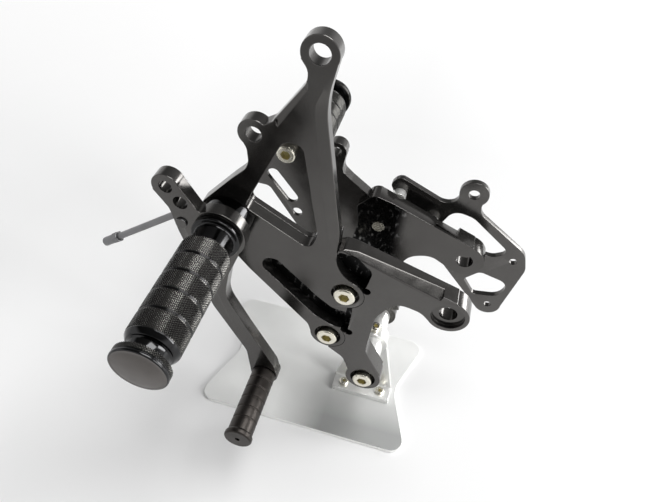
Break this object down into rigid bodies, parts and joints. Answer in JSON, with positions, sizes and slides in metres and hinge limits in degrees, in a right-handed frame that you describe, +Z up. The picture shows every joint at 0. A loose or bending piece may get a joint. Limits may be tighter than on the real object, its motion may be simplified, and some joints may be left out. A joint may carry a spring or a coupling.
{
  "type": "rear sets footrest",
  "caption": "Left and right motorcycle rear set footrests with milled hanger plates, knurled pegs and a shift lever, bolted to a cross tube on a polished display foot.",
  "frame": {"origin": "underside of the base plate, straight under the middle of the cross tube", "axes": "+X towards the ends of the long arms, -Y the left (shift) side, +Z up"},
  "size_m": [0.2623, 0.261, 0.2958],
  "materials": {
    "black_anodised": "satin black anodised, milled",
    "peg_black": "glossy black anodised, diamond knurled bands with bright crests",
    "cap_black": "matte black anodised face with a knurled rim",
    "polished_aluminium": "polished",
    "screw_steel": "bright plated socket screws",
    "rod_steel": "grey plated",
    "toe_peg_brown": "dark brown-grey anodised, ring grooved"
  },
  "bodies": {
    "frame": {"left_main_plate": "black_anodised", "left_hanger": "black_anodised", "left_hanger_screws": "screw_steel", "left_tube_screw": "screw_steel", "left_pivot_spacer": "black_anodised", "left_pivot_bush": "polished_aluminium", "left_peg_body": "peg_black", "left_peg_end_cap": "cap_black", "left_peg_bolt": "screw_steel", "cross_tube": "polished_aluminium", "tube_lock_screw": "screw_steel", "stand_upright": "polished_aluminium", "stand_base": "polished_aluminium", "stand_screws": "screw_steel", "right_main_plate": "black_anodised", "right_hanger": "black_anodised", "right_hanger_screws": "screw_steel", "right_tube_screw": "screw_steel", "right_peg_body": "peg_black", "right_peg_end_cap": "cap_black", "right_peg_bolt": "screw_steel", "right_pivot_screw": "screw_steel", "cylinder_plate": "black_anodised", "cylinder_plate_spacers": "polished_aluminium", "cylinder_plate_screws": "screw_steel"},
    "lever": {"shift_lever": "black_anodised", "toe_peg": "toe_peg_brown", "toe_peg_screw": "screw_steel", "shift_rod_pin": "rod_steel"},
    "rod": {"shift_rod": "rod_steel", "shift_rod_sleeve": "rod_steel"}
  },
  "joints": [
    {"name": "shift_lever_turn", "type": "hinge", "parent": "frame", "child": "lever", "pos_m": [-0.0925, -0.048, 0.1805], "axis": [0, 1, 0], "range_deg": [-12, 12]},
    {"name": "shift_rod_turn", "type": "hinge", "parent": "lever", "child": "rod", "pos_m": [-0.1125, -0.0395, 0.1835], "axis": [0, 1, 0], "range_deg": [-12, 12]}
  ]
}
